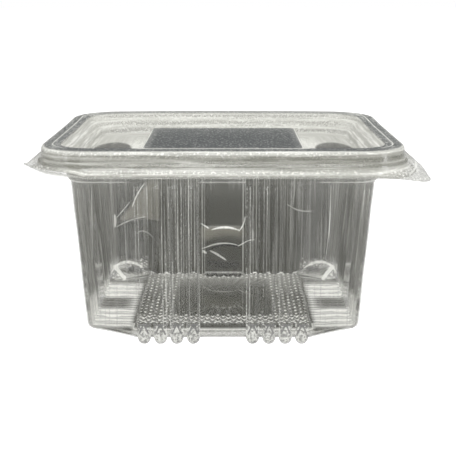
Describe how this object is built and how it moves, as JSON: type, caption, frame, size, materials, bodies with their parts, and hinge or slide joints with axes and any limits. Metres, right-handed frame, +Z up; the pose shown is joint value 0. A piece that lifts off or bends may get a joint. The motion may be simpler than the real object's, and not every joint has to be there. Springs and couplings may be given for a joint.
{
  "type": "hinged salad container",
  "caption": "Clear thin-walled salad container with fluted tapered walls, feet, a studded raised floor and a hinged lid with a raised snap ring round its recessed top.",
  "frame": {"origin": "on the ground under the middle of the container, at the height of its feet", "axes": "+X along the width, towards the lifting tab's side; +Y from the front to the hinge at the back; +Z up"},
  "size_m": [0.156, 0.1298, 0.081],
  "materials": {
    "clear_sheet": "clear glossy formed plastic sheet, slightly wavy, stippled on the flange corners"
  },
  "bodies": {
    "tray": {"base_tray": "clear_sheet"},
    "lid": {"lid": "clear_sheet"}
  },
  "joints": [
    {"name": "lid_hinge", "type": "hinge", "parent": "tray", "child": "lid", "pos_m": [0, 0.065, 0.07165], "axis": [-1, 0, 0], "range_deg": [0, 180]}
  ]
}
